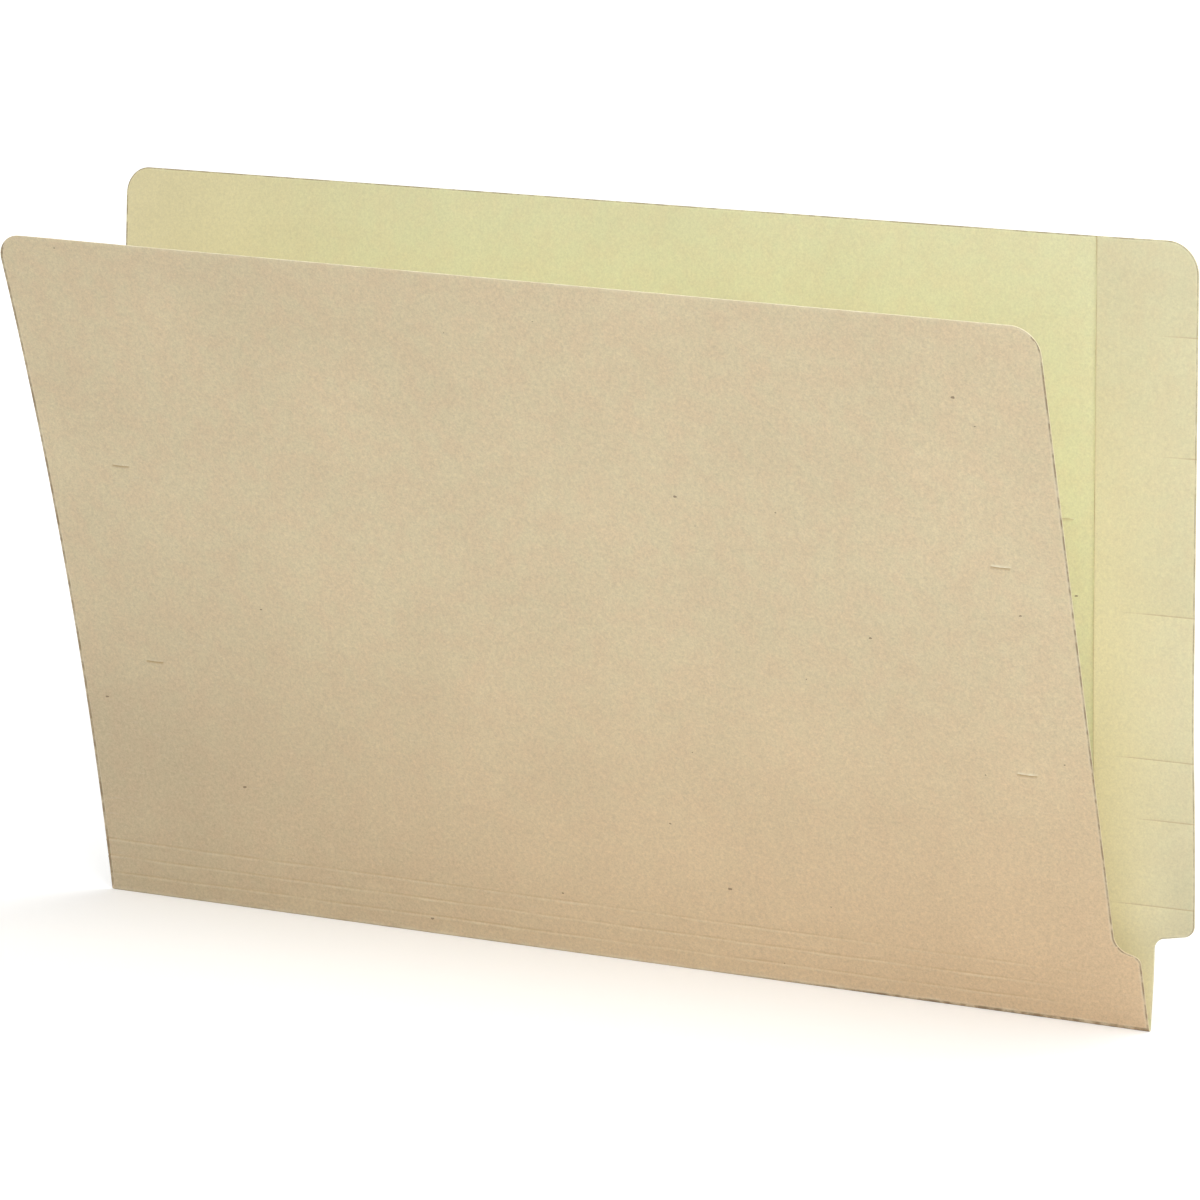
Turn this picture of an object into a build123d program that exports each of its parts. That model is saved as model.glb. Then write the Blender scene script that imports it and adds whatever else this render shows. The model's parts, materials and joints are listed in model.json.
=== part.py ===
import os

from build123d import *

# Legal size end-tab file folder of manila board, standing on its bottom fold with the cover ajar.
# X runs along the fold towards the tab, Z runs up the back panel, and the cover opens towards -Y.
# The origin is the middle of the fold's lowest line. All sizes are in millimetres and degrees.

# Sheet stock
board = 0.28  # 11 point manila board
glue_film = 0.05  # dried adhesive under the second ply of the tab
glue_seat = 0.02  # from the film to the board on each side of it

# Back panel: heights are measured up the sheet from the foot of the bottom fold
body_width = 374.65  # 14 3/4 in along the fold
back_height = 241.3  # 9 1/2 in
back_corner = 9.0  # radius of the top corner away from the tab

# End tab
tab_reach = 12.7  # 1/2 in past the end of the body
tab_foot = 28.3  # height of its lower edge where it leaves the body
tab_foot_rise = 2.3  # climb of that edge to its outer end
tab_top_corner = 10.0
tab_foot_corner = 3.0
tab_root_fillet = 3.0
ply_width = 32.3  # second ply, from the outer edge of the tab inwards
ply_foot = 4.0  # height of its lower edge

# Cover
cover_height = 234.95  # 9 1/4 in
cover_cutback = 8.0  # how far its edge stops short of the body at the tab end
cover_foot = 8.0  # full width margin above the last score, at its outer corner
cover_foot_rise = 2.5  # climb of the step from that corner to the cut back edge
cover_plain_corner = 9.0  # top corner away from the tab
cover_tab_corner = 9.0  # top corner at the tab end
step_corner = 2.0
step_fillet = 4.0

# Fastener slits, one pair at each end of both panels
slit_length = 7.5
slit_width = 0.8
slit_spacing = 69.85  # 2 3/4 in, the pitch of a two prong fastener
slit_inset = 30.0  # middle of a slit from the end of the body

# Bottom fold and the scores that let the bottom widen
ply_clearance = 0.63  # between the second ply and the closed cover
hinge_clearance = 0.12  # from the round of the bend to the edges of the panels that turn on it
score_count = 3
score_pitch = 6.0
score_ridge = 0.06  # how far a score stands proud of the board on each side
score_clearance = 0.05  # from a ridge to the strips that turn on it
opening_angle = 17.5  # of the cover from the back panel, at rest

# Set of the sheets: how far the top of each end has moved back, towards +Y, from a flat sheet
back_plain_lean = 9.5
back_tab_lean = -10.8
cover_plain_lean = 5.3
cover_tab_lean = -7.6
cover_plain_sag = 5.6  # of the cover's plain end, half way up, behind the straight line to its top
stiff_margin = 2.0  # past the second ply, where it still keeps the back panel from twisting
trim = 2.0  # stock left over round an outline when it is cut
section_count = 33  # sections that a gusset strip's twist is drawn through

# Places worked out from the sizes above
end_x = body_width / 2
tab_edge_x = end_x + tab_reach
fold_gap = board + glue_film + 2 * glue_seat + ply_clearance
fold_radius = fold_gap / 2 + board
fold_axis = Axis((0, 0, fold_radius), (1, 0, 0))
panel_start = 2 * fold_radius + hinge_clearance
bead_radius = board / 2 + score_ridge
score_margin = bead_radius + score_clearance
cover_start = score_count * score_pitch + score_margin
step_height = score_count * score_pitch + cover_foot
cover_edge_x = end_x - cover_cutback
ply_x = tab_edge_x - ply_width
stiff_x = ply_x - stiff_margin
slit_heights = [back_height / 2 + side * slit_spacing / 2 for side in (-1, 1)]
strip_stations = [-end_x + body_width * step / (section_count - 1) for step in range(section_count)]

# Where the sheets start, growing towards -Y, in the closed folder
back_y = fold_radius
glue_y = back_y - board - glue_seat
ply_y = glue_y - glue_film - glue_seat
cover_y = -fold_gap / 2

# How the two panels have set: both are straight along the fold and twist up to their end, the back only
# as far as it isn't doubled, and the cover sags at its plain end
stock_x = -end_x - trim
stock_end_x = tab_edge_x + trim
back_set = {"end": stiff_x, "top": back_height, "plain": back_plain_lean, "tab": back_tab_lean, "sag": 0}
cover_set = {
    "end": end_x + trim,
    "top": cover_height,
    "plain": cover_plain_lean,
    "tab": cover_tab_lean,
    "sag": cover_plain_sag,
}


def outline(corners):
    # closed outline from (x, height above the foot, corner radius)
    points = [(x, height) for x, height, radius in corners]
    radii = [radius for x, height, radius in corners]
    return make_face(FilletPolyline(*points, radius=radii, close=True))


def slits():
    # narrow cuts where the prongs of a fastener pass through
    cut = SlotOverall(slit_length, slit_width)
    places = [(side * (end_x - slit_inset), height) for side in (-1, 1) for height in slit_heights]
    return Sketch() + [Pos(x, height) * cut for x, height in places]


def set_back(panel, x, height):
    # how far a panel has moved back at a place on it, from where it was flat
    along = (x - stock_x) / (panel["end"] - stock_x)
    up = (height - fold_radius) / (panel["top"] - fold_radius)
    lean = panel["plain"] * (1 - along) + panel["tab"] * along
    return lean * up + 4 * panel["sag"] * (1 - along) * up * (1 - up)


def upright_line(panel, x, y, low, high):
    # between two heights, a parabola through the places the panel has moved to
    middle = (low + high) / 2
    start, halfway, end = (y + set_back(panel, x, height) for height in (low, middle, high))
    return Bezier((start, low), (2 * halfway - (start + end) / 2, middle), (end, high))


def twisted_stock(panel, stations, y, thickness, low, high):
    # board between two heights, set as the panel has, from the given y towards -Y
    def section(x):
        near = upright_line(panel, x, y, low, high)
        far = upright_line(panel, x, y - thickness, low, high)
        return Plane.YZ.offset(x) * make_face([near, Line(near @ 1, far @ 1), far, Line(far @ 0, near @ 0)])

    return loft([section(x) for x in stations], ruled=True)


def leaning_stock(y, thickness):
    # flat board of the doubled end, which leans as the back panel's twist has left it
    low, high = fold_radius, back_height + trim
    corners = [(y, low), (y, high), (y - thickness, high), (y - thickness, low)]
    places = [(side + set_back(back_set, stiff_x, height), height) for side, height in corners]
    return extrude(Plane.YZ.offset(stiff_x) * make_face(Polyline(*places, close=True)), stock_end_x - stiff_x)


def cut_out(uncut, flat):
    # an outline cut from board, right through it
    return uncut & extrude(Plane.XZ * flat, back_height, both=True)


def turned(shape, angle=opening_angle):
    # carried round the bottom fold from the closed folder
    return shape.rotate(fold_axis, angle)


def back_outline():
    return outline(
        [
            (-end_x, panel_start, 0),
            (end_x, panel_start, 0),
            (end_x, tab_foot, tab_root_fillet),
            (tab_edge_x, tab_foot + tab_foot_rise, tab_foot_corner),
            (tab_edge_x, back_height, tab_top_corner),
            (-end_x, back_height, back_corner),
        ]
    )


def ply_outline():
    # the second ply shares the edges of the tab and runs down almost to the fold
    patch = [(ply_x, ply_foot), (tab_edge_x, ply_foot), (tab_edge_x, back_height), (ply_x, back_height)]
    return back_outline() & outline([(x, height, 0) for x, height in patch])


def cover_outline():
    return outline(
        [
            (-end_x, cover_start, 0),
            (end_x, cover_start, 0),
            (end_x, step_height, step_corner),
            (cover_edge_x, step_height + cover_foot_rise, step_fillet),
            (cover_edge_x, cover_height, cover_tab_corner),
            (-end_x, cover_height, cover_plain_corner),
        ]
    )


def bottom_fold():
    # half round bend of the board, open towards the space between the panels
    ring = Circle(fold_radius) - Circle(fold_radius - board)
    upper = Pos(0, fold_radius / 2) * Rectangle(2 * fold_radius, fold_radius)
    bend = extrude(Plane.YZ * (ring - upper), end_x, both=True)
    return turned(Pos(fold_axis.position) * bend, opening_angle / 2)


def gusset_strip(number):
    low = panel_start if number == 1 else (number - 1) * score_pitch + score_margin
    high = number * score_pitch - score_margin
    return turned(twisted_stock(cover_set, strip_stations, cover_y, board, low, high))


def score_bead(number):
    # ridge along the middle of the board, on the axis that the next strip turns about
    height = number * score_pitch
    middle_y = cover_y - board / 2
    places = [(x, middle_y + set_back(cover_set, x, height)) for x in (-end_x, end_x)]
    rounds = [Plane.YZ.offset(x) * Pos(y, height) * Circle(bead_radius) for x, y in places]
    return turned(loft(rounds, ruled=True))


def cover_panel():
    # front panel, stepped back at the tab end
    stations = (stock_x, cover_set["end"])
    uncut = twisted_stock(cover_set, stations, cover_y, board, fold_radius, cover_height + trim)
    return turned(cut_out(uncut, cover_outline() - slits()))


def back_panel():
    # one sheet, twisted along its single board and flat where it is doubled
    flat = back_outline() - slits()
    twisted = twisted_stock(back_set, (stock_x, stiff_x), back_y, board, fold_radius, back_height + trim)
    return cut_out(twisted, flat) + cut_out(leaning_stock(back_y, board), flat)


parts = {
    "back_panel": back_panel(),
    "tab_glue": cut_out(leaning_stock(glue_y, glue_film), ply_outline() - slits()),
    "tab_ply": cut_out(leaning_stock(ply_y, board), ply_outline() - slits()),
    "bottom_fold": bottom_fold(),
    "cover_panel": cover_panel(),
}
for number in range(1, score_count + 1):
    parts[f"gusset_strip_{number}"] = gusset_strip(number)
    parts[f"score_bead_{number}"] = score_bead(number)

os.makedirs("parts", exist_ok=True)
for name, part in parts.items():
    export_step(part, f"parts/{name}.step")
    print(f"{name}: {part.volume:.1f} mm3")
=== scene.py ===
import json
from math import cos, degrees, pi, radians, sin

import bmesh
import bpy
from mathutils import Matrix, Vector, noise

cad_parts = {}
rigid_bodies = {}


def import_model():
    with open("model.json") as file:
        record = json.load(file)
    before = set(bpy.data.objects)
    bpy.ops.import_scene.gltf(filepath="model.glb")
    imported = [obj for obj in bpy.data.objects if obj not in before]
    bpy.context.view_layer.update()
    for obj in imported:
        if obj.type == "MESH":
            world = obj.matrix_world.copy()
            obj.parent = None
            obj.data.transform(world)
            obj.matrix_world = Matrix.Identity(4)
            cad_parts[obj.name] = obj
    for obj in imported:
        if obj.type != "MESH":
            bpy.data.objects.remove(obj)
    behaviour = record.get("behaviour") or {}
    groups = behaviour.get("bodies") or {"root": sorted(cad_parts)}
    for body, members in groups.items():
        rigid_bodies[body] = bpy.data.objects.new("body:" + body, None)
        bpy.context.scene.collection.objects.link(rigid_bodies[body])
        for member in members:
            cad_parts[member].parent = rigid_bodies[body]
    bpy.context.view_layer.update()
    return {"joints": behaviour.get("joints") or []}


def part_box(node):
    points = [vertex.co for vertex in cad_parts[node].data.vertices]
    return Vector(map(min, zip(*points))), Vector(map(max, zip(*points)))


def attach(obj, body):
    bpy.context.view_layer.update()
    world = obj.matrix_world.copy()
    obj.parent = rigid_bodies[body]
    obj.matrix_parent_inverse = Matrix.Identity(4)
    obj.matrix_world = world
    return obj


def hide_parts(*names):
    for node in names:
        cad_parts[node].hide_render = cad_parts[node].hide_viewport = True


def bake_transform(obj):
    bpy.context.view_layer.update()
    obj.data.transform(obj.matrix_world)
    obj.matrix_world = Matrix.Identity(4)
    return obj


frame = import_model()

mm = 0.001
near = 0.02 * mm  # how close a point counts as being at a place
merge = 0.01 * mm  # points closer than this become one
cutSnap = 0.1 * mm  # points nearer to a cut than this are taken as being on it
cutRoom = 0.4 * mm  # an even cut keeps this far from the cuts of a detail
flatAngle = radians(1)  # faces bent less than this are one face
softAngle = radians(35)  # edges bent less than this are shaded smooth
leastWeight = 0.001  # a point with less isn't put in a group
cageDepth = 10 * mm  # of the lattice that gives a sheet its set
cornerSteps = {"small": 6, "fillet": 8, "plain": 12, "fine": 16}
unit = (0.0, 1.0)
white = (1, 1, 1, 1)

# Sheet stock
board = 0.28 * mm
glueFilm = 0.05 * mm
glueSeat = 0.02 * mm

# Places that come with the frame
jointPlace = {j["name"]: Vector(j["pos_m"]) for j in frame["joints"]}
jointRange = {j["name"]: j["range_deg"] for j in frame["joints"]}
foldAxis = jointPlace["back_fold"]
foldHeight = foldAxis.z  # above the fold's foot
# both panels lie down equally far, so what the cover lacks is the angle it rests at
coverAngle = radians(jointRange["back_fold"][1] - jointRange["cover_fold"][1])
scoreNames = ["score_1_bend", "score_2_bend", "score_3_bend"]
closedScore = Matrix.Rotation(-coverAngle, 3, "X") @ (jointPlace[scoreNames[0]] - foldAxis) + foldAxis
scorePitch = closedScore.z
backLow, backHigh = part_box("back_panel")
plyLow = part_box("tab_ply")[0]
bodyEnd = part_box("cover_panel")[1].x
innerGap = foldHeight - board  # from the fold's axis to the inner face of a panel
coverFace = -innerGap - board  # outer face of the closed cover
plainEnd = backLow.x
tabEdge = backHigh.x
backTop = backHigh.z
print("frame read: cover open", round(degrees(coverAngle), 2), "degrees")
print("frame read: scores", round(scorePitch / mm, 3), "mm apart")


# Working in edit mode

def onlySelect(obj):
    if bpy.context.mode != "OBJECT":
        bpy.ops.object.mode_set(mode="OBJECT")
    bpy.ops.object.select_all(action="DESELECT")
    obj.select_set(True)
    bpy.context.view_layer.objects.active = obj


def editMesh(obj):
    onlySelect(obj)
    bpy.ops.object.mode_set(mode="EDIT")
    bpy.ops.mesh.select_mode(type="VERT")


def leaveEdit():
    bpy.ops.object.mode_set(mode="OBJECT")


def pickAll():
    bpy.ops.mesh.select_all(action="SELECT")


def pickPoints(obj, test):
    mesh = bmesh.from_edit_mesh(obj.data)
    bpy.ops.mesh.select_all(action="DESELECT")
    for vert in mesh.verts:
        vert.select_set(test(vert.co))
    mesh.select_flush(True)
    bmesh.update_edit_mesh(obj.data)


def pickFaces(obj, test):
    mesh = bmesh.from_edit_mesh(obj.data)
    bpy.ops.mesh.select_all(action="DESELECT")
    for face in mesh.faces:
        face.select_set(test(face.calc_center_median()))
    bmesh.update_edit_mesh(obj.data)


def applyModifiers(obj):
    onlySelect(obj)
    for modifier in list(obj.modifiers):
        bpy.ops.object.modifier_apply(modifier=modifier.name)


def flatBoard(name, lowX, highX, lowZ, highZ, y):
    bpy.ops.object.select_all(action="DESELECT")
    middle = ((lowX + highX) / 2, y, (lowZ + highZ) / 2)
    bpy.ops.mesh.primitive_plane_add(size=1, location=middle, rotation=(radians(90), 0, 0))
    obj = bpy.context.active_object
    obj.name = name
    obj.scale = (highX - lowX, highZ - lowZ, 1)
    bpy.ops.object.transform_apply(location=True, rotation=True, scale=True)
    return obj


def roundCorner(obj, x, z, radius, steps="plain"):
    pickPoints(obj, lambda co: abs(co.x - x) < near and abs(co.z - z) < near)
    bpy.ops.mesh.bevel(offset=radius, segments=cornerSteps[steps], affect="VERTICES", profile=0.5)


def bandInside(width):
    # a loop just inside the outline, for the worn edge
    pickAll()
    bpy.ops.mesh.inset(thickness=width, use_boundary=True)


def cutAcross(heights, snap=cutSnap):
    for height in heights:
        pickAll()
        bpy.ops.mesh.bisect(plane_co=(0, 0, height), plane_no=(0, 0, 1), threshold=snap)


def cutUpright(places):
    for x in places:
        pickAll()
        bpy.ops.mesh.bisect(plane_co=(x, 0, 0), plane_no=(1, 0, 0), threshold=cutSnap)


def evenCuts(low, high, step, keepOff=(), room=cutRoom):
    count = max(1, round((high - low) / step))
    cuts = [low + (high - low) * k / count for k in range(1, count)]
    return [c for c in cuts if all(abs(c - k) > room for k in keepOff)]


def mergeDoubles():
    pickAll()
    bpy.ops.mesh.remove_doubles(threshold=merge)


def smoothStep(value):
    t = min(1.0, max(0.0, value))
    return t * t * (3 - 2 * t)


def pointGroup(obj, name, weightAt):
    group = obj.vertex_groups.new(name=name)
    for vert in obj.data.vertices:
        weight = weightAt(vert.co)
        if weight > leastWeight:
            group.add([vert.index], min(weight, 1.0), "REPLACE")


def pushOut(obj, group, distance):
    push = obj.modifiers.new(group, "DISPLACE")
    push.vertex_group = group
    push.direction = "NORMAL"
    push.mid_level = 0
    push.strength = distance


def paintPoints(obj, name, valueAt):
    layer = obj.data.attributes.new(name, "FLOAT", "POINT")
    for vert in obj.data.vertices:
        layer.data[vert.index].value = valueAt(vert.co)


def paintRim(obj, points, valueAt):
    layer = obj.data.attributes.new("rim", "FLOAT", "POINT")
    for index in points:
        layer.data[index].value = valueAt(obj.data.vertices[index].co)


def bentByLattice(obj, low, high, offsetAt, columns, rows):
    # a sheet takes its set from a lattice with one layer of points
    bpy.ops.object.select_all(action="DESELECT")
    bpy.ops.object.add(type="LATTICE", location=(low + high) / 2)
    cage = bpy.context.active_object
    cage.scale = (high.x - low.x, cageDepth, high.z - low.z)
    cage.data.points_u = columns
    cage.data.points_v = 1
    cage.data.points_w = rows
    for kind in ("u", "v", "w"):
        setattr(cage.data, f"interpolation_type_{kind}", "KEY_CATMULL_ROM")
    for point in cage.data.points:
        across = point.co.x + 0.5
        up = point.co.z + 0.5
        point.co_deform.y = point.co.y + offsetAt(across, up) / cage.scale.y
    bpy.context.view_layer.update()
    bend = obj.modifiers.new("set", "LATTICE")
    bend.object = cage
    applyModifiers(obj)
    bpy.data.objects.remove(cage)


def giveThickness(obj, thickness):
    # slot 0 is the face that was modelled, 1 the face behind it, 2 the cut edge
    wall = obj.modifiers.new("board", "SOLIDIFY")
    wall.thickness = thickness
    wall.offset = -1
    wall.material_offset = 1
    wall.material_offset_rim = 2
    applyModifiers(obj)
    bpy.ops.object.shade_smooth_by_angle(angle=softAngle)


def dress(obj, *finishes):
    obj.data.materials.clear()
    for finish in finishes:
        obj.data.materials.append(finish)


# Shared effects as node groups

def newGroup(name, inputs, outputs):
    tree = bpy.data.node_groups.new(name, "ShaderNodeTree")
    for label, kind, start in inputs:
        socket = tree.interface.new_socket(name=label, in_out="INPUT", socket_type=kind)
        socket.default_value = start
    for label, kind in outputs:
        tree.interface.new_socket(name=label, in_out="OUTPUT", socket_type=kind)
    return tree, tree.nodes.new("NodeGroupInput"), tree.nodes.new("NodeGroupOutput")


def addNode(tree, kind, **settings):
    node = tree.nodes.new(kind)
    for key, value in settings.items():
        setattr(node, key, value)
    return node


def feed(tree, socket, value):
    # another node's output is linked, and a plain number or colour is set
    if isinstance(value, bpy.types.NodeSocket):
        tree.links.new(value, socket)
    else:
        socket.default_value = value


def painted(tree, name):
    return addNode(tree, "ShaderNodeAttribute", attribute_name=name).outputs["Fac"]


def noiseNode(tree, place, scale, detail=2.0, roughness=0.5):
    node = addNode(tree, "ShaderNodeTexNoise")
    node.inputs["Scale"].default_value = scale
    node.inputs["Detail"].default_value = detail
    node.inputs["Roughness"].default_value = roughness
    tree.links.new(place, node.inputs["Vector"])
    return node.outputs["Fac"]


def rangeNode(tree, value, source, target=unit):
    node = addNode(tree, "ShaderNodeMapRange", clamp=True)
    labels = ("Value", "From Min", "From Max", "To Min", "To Max")
    for label, number in zip(labels, (value, *source, *target)):
        feed(tree, node.inputs[label], number)
    return node.outputs["Result"]


def mathNode(tree, operation, first, second):
    node = addNode(tree, "ShaderNodeMath", operation=operation)
    feed(tree, node.inputs[0], first)
    feed(tree, node.inputs[1], second)
    return node.outputs["Value"]


def timesNode(tree, product, *others):
    for other in others:
        product = mathNode(tree, "MULTIPLY", product, other)
    return product


def mixNode(tree, mask, first, second):
    node = addNode(tree, "ShaderNodeMix", data_type="RGBA")
    for socket, value in ((0, mask), (6, first), (7, second)):  # those of a colour mix
        feed(tree, node.inputs[socket], value)
    return node.outputs[2]


def turnedPlace(tree, place, turn, scale):
    node = addNode(tree, "ShaderNodeMapping")
    node.inputs["Rotation"].default_value = turn
    node.inputs["Scale"].default_value = scale
    tree.links.new(place, node.inputs["Vector"])
    return node.outputs["Vector"]


pulpSizes = {
    "cloud": {"scale": 22.0, "detail": 3.0, "roughness": 0.55},
    "patch": {"scale": 140.0, "detail": 3.0, "roughness": 0.55},
    "grain": {"scale": 850.0, "detail": 4.0, "roughness": 0.7},
    "tooth": {"scale": 1700.0, "detail": 2.0, "roughness": 0.6},
    "patchRange": (0.38, 0.64),
    "grainShare": 0.7,
    "toothShare": 0.3,
    "fineRange": (0.28, 0.72),
    "cloudRange": (0.3, 0.7),
    "cloudShade": (0.97, 1.03),
    "darkeningRange": (1.0, 0.83),
    "grainRange": (0.3, 0.7),
    "roughness": (0.78, 0.92),
}


def boardStockGroup():
    # pulp of the board: soft clouds, a fine mottle and the tooth of the surface
    s = pulpSizes
    tree, start, end = newGroup(
        "boardStock",
        [
            ("Place", "NodeSocketVector", (0, 0, 0)),
            ("Tone", "NodeSocketColor", (0.7, 0.6, 0.4, 1)),
            ("Warm Tone", "NodeSocketColor", (0.7, 0.6, 0.4, 1)),
            ("Painted Light Tone", "NodeSocketColor", (0.7, 0.55, 0.35, 1)),
            ("Mottle", "NodeSocketFloat", 0.08),
        ],
        [("Color", "NodeSocketColor"), ("Tooth", "NodeSocketFloat"), ("Roughness", "NodeSocketFloat")],
    )
    place = start.outputs["Place"]
    cloud = noiseNode(tree, place, **s["cloud"])
    patch = noiseNode(tree, place, **s["patch"])
    grain = noiseNode(tree, place, **s["grain"])
    tooth = noiseNode(tree, place, **s["tooth"])
    warmth = rangeNode(tree, patch, s["patchRange"])
    toned = mixNode(tree, warmth, start.outputs["Tone"], start.outputs["Warm Tone"])
    # the foot attribute mixes in a tone of painted light and shade: painted shade at the cover's foot and
    # the back's plain end, painted light on the ply beside the cover
    paintedLightTone = mixNode(tree, painted(tree, "foot"), toned, start.outputs["Painted Light Tone"])
    less = mathNode(tree, "SUBTRACT", 1.0, start.outputs["Mottle"])
    more = mathNode(tree, "ADD", 1.0, start.outputs["Mottle"])
    coarse = timesNode(tree, grain, s["grainShare"])
    fine = mathNode(tree, "ADD", coarse, timesNode(tree, tooth, s["toothShare"]))
    mottled = rangeNode(tree, fine, s["fineRange"], (less, more))
    clouded = rangeNode(tree, cloud, s["cloudRange"], s["cloudShade"])
    # the grime attribute darkens the colour: painted shade at the cover's plain foot, and darker towards
    # the tab's lower outer end
    darkened = rangeNode(tree, painted(tree, "darkening"), unit, s["darkeningRange"])
    scaled = addNode(tree, "ShaderNodeVectorMath", operation="SCALE")
    tree.links.new(paintedLightTone, scaled.inputs[0])
    tree.links.new(timesNode(tree, mottled, clouded, darkened), scaled.inputs["Scale"])
    tree.links.new(scaled.outputs["Vector"], end.inputs["Color"])
    tree.links.new(fine, end.inputs["Tooth"])
    tree.links.new(rangeNode(tree, grain, s["grainRange"], s["roughness"]), end.inputs["Roughness"])
    return tree


fleckSizes = {
    "speckTurn": (radians(90), 0.0, 0.4),  # the sheet's height becomes Y
    "speckStretch": (0.55, 1.0, 1.0),
    "cellScale": 60.0,
    "smallest": 0.012,
    "sizeSpread": 0.026,
    "raggedScale": 1500.0,
    "ragged": 0.03,
    "speckStrength": 0.75,
    "fibreTurn": (0.0, -0.35, 0.3),
    "fibreScale": (260.0, 1400.0, 1400.0),
    "fibreNoise": {"scale": 1.0, "detail": 1.0},
    "fibreRange": (0.66, 0.74),
    "fibreColor": (1.0, 0.96, 0.86, 1),
}


def fibreFlecksGroup():
    # a few dark bark specks and short pale fibres caught in the pulp
    s = fleckSizes
    tree, start, end = newGroup(
        "fibreFlecks",
        [
            ("Place", "NodeSocketVector", (0, 0, 0)),
            ("Color", "NodeSocketColor", (0.7, 0.6, 0.4, 1)),
            ("Speck Color", "NodeSocketColor", (0.2, 0.13, 0.08, 1)),
            ("Specks", "NodeSocketFloat", 0.1),
            ("Fibres", "NodeSocketFloat", 0.3),
        ],
        [("Color", "NodeSocketColor")],
    )
    place = start.outputs["Place"]
    cells = addNode(tree, "ShaderNodeTexVoronoi", voronoi_dimensions="2D")
    cells.inputs["Scale"].default_value = s["cellScale"]
    tree.links.new(turnedPlace(tree, place, s["speckTurn"], s["speckStretch"]), cells.inputs["Vector"])
    chance = addNode(tree, "ShaderNodeSeparateColor")
    tree.links.new(cells.outputs["Color"], chance.inputs["Color"])
    chosen = mathNode(tree, "LESS_THAN", chance.outputs["Red"], start.outputs["Specks"])
    size = mathNode(tree, "ADD", timesNode(tree, chance.outputs["Green"], s["sizeSpread"]), s["smallest"])
    uneven = timesNode(tree, noiseNode(tree, place, s["raggedScale"]), s["ragged"])
    ragged = mathNode(tree, "ADD", cells.outputs["Distance"], uneven)
    speck = timesNode(tree, mathNode(tree, "LESS_THAN", ragged, size), chosen, s["speckStrength"])
    hairs = turnedPlace(tree, place, s["fibreTurn"], s["fibreScale"])
    strands = rangeNode(tree, noiseNode(tree, hairs, **s["fibreNoise"]), s["fibreRange"])
    fibre = timesNode(tree, strands, start.outputs["Fibres"])
    paler = mixNode(tree, fibre, start.outputs["Color"], s["fibreColor"])
    tree.links.new(mixNode(tree, speck, paler, start.outputs["Speck Color"]), end.inputs["Color"])
    return tree


edgeWearAndShadeSizes = {
    "uneven": {"scale": 160.0, "detail": 4.0, "roughness": 0.6},
    "unevenRange": (0.35, 0.65),
    "unevenAmount": (0.1, 1.0),
    "dashed": {"scale": 230.0, "detail": 3.0, "roughness": 0.6},
    "dashedRange": (0.38, 0.58),
    "dashedAmount": (0.25, 1.0),
    "paleRimRange": (0.05, 0.4),  # of the rim's value, which falls from the outline inwards
    "edgeShadeRange": (0.45, 0.7),
    "edgeShadeColor": (0.18, 0.105, 0.045, 1),
    "creaseShadeColor": (0.43, 0.27, 0.11, 1),
}


def edgeWearAndShadeGroup():
    # edges and scores are painted pale (wear, with a painted highlight on crests and lips), the outermost
    # line gets a painted shade line, and creases get painted shade
    s = edgeWearAndShadeSizes
    tree, start, end = newGroup(
        "edgeWearAndShade",
        [
            ("Place", "NodeSocketVector", (0, 0, 0)),
            ("Color", "NodeSocketColor", (0.7, 0.6, 0.4, 1)),
            ("Rub And Highlight Color", "NodeSocketColor", (0.9, 0.85, 0.7, 1)),
            ("Rub And Highlight", "NodeSocketFloat", 0.5),
            ("Edge Shade", "NodeSocketFloat", 0.4),
            ("Crease Shade", "NodeSocketFloat", 0.3),
        ],
        [("Color", "NodeSocketColor")],
    )
    place = start.outputs["Place"]
    rim = painted(tree, "rim")
    uneven = rangeNode(tree, noiseNode(tree, place, **s["uneven"]), s["unevenRange"], s["unevenAmount"])
    dashed = rangeNode(tree, noiseNode(tree, place, **s["dashed"]), s["dashedRange"], s["dashedAmount"])
    # pale band: wear along the rim, with a painted highlight on crests and lips
    rubAndHighlight = mathNode(tree, "MAXIMUM", rangeNode(tree, rim, s["paleRimRange"]), painted(tree, "crest"))
    rubAndHighlightMask = timesNode(tree, rubAndHighlight, uneven, start.outputs["Rub And Highlight"])
    paler = mixNode(tree, rubAndHighlightMask, start.outputs["Color"], start.outputs["Rub And Highlight Color"])
    # painted shade: a dark line along the outermost edge of the rim
    edgeShadeMask = timesNode(tree, rangeNode(tree, rim, s["edgeShadeRange"]), dashed, start.outputs["Edge Shade"])
    edgeShaded = mixNode(tree, edgeShadeMask, paler, s["edgeShadeColor"])
    # painted shade in the creases
    creaseShadeMask = timesNode(tree, painted(tree, "crease"), start.outputs["Crease Shade"])
    tree.links.new(mixNode(tree, creaseShadeMask, edgeShaded, s["creaseShadeColor"]), end.inputs["Color"])
    return tree


boardStock = boardStockGroup()
fibreFlecks = fibreFlecksGroup()
edgeWearAndShade = edgeWearAndShadeGroup()


# Looks of the board, by the inputs of the groups: a plain tone, the warmer one it is clouded with, and the
# one painted in as light and shade where the foot attribute is; the plain tones of outside, inside and ply
# differ as painted light

outsideFinish = {
    "stock": {
        "Tone": (0.735, 0.63, 0.42, 1),
        "Warm Tone": (0.74, 0.605, 0.405, 1),
        # darker and warmer: painted shade towards the cover's foot
        "Painted Light Tone": (0.735, 0.548, 0.35, 1),
        "Mottle": 0.14,
    },
    "flecks": {"Specks": 0.22, "Fibres": 0.06},
    "wear": {"Rub And Highlight Color": (0.88, 0.80, 0.61, 1), "Rub And Highlight": 0.45, "Edge Shade": 0.7, "Crease Shade": 0.7},
    "bump": 0.4,
}
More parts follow.
